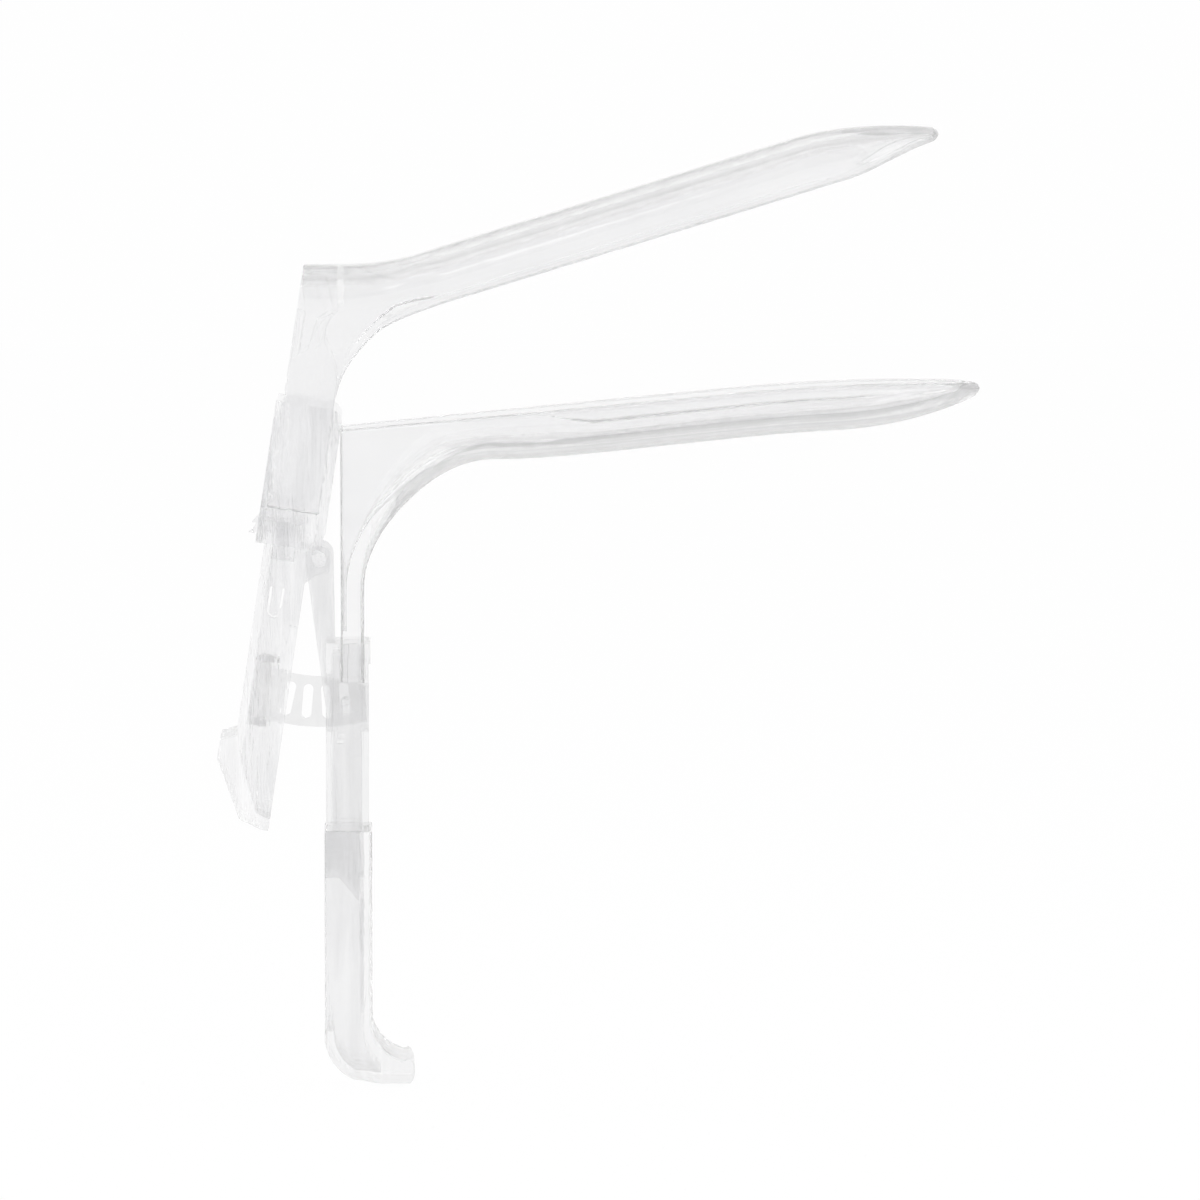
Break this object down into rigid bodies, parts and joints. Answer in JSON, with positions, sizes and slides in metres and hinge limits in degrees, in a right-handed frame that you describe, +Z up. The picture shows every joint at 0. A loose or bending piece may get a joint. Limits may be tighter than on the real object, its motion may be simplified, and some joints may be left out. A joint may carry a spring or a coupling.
{
  "type": "bivalve speculum",
  "caption": "Clear moulded bivalve speculum: hinged upper and lower blades, thumb lever, ratchet strap, sliding height guides and a hollow hooked handle.",
  "frame": {"origin": "middle of the flat sole under the toe of the grip", "axes": "+X along the blades towards their tips, +Y across the blades, +Z up the handle; the blades are drawn open, as in the picture"},
  "size_m": [0.1317, 0.0356, 0.1648],
  "materials": {
    "clear_blade": "polished clear moulded plastic",
    "clear_frame": "clear moulded plastic",
    "frosted_clear": "clear moulded plastic with a faint haze"
  },
  "bodies": {
    "handle": {"lower_blade": "clear_blade", "handle_body": "frosted_clear", "grip_shell": "frosted_clear"},
    "lever": {"yoke_frame": "clear_frame", "thumb_lever": "clear_frame"},
    "upper": {"upper_blade": "clear_blade"},
    "catches": {"height_catches": "clear_frame"},
    "strap": {"ratchet_strap": "frosted_clear"}
  },
  "joints": [
    {"name": "blade_opening", "type": "hinge", "parent": "handle", "child": "lever", "pos_m": [-0.01294, 0, 0.0905], "axis": [0, -1, 0], "range_deg": [-11.3, 1.5]},
    {"name": "blade_height", "type": "slide", "parent": "lever", "child": "upper", "axis": [0.1478, 0, 0.989], "range_m": [-0.015, 0]},
    {"name": "catch_release", "type": "hinge", "parent": "lever", "child": "catches", "pos_m": [-0.02015, 0, 0.11499], "axis": [0, 1, 0], "range_deg": [0, 4], "stiffness_Nm_per_rad": 0.02},
    {"name": "strap_release", "type": "hinge", "parent": "lever", "child": "strap", "pos_m": [-0.02302, 0, 0.06774], "axis": [0.1478, 0, 0.989], "range_deg": [0, 3], "stiffness_Nm_per_rad": 0.02}
  ]
}
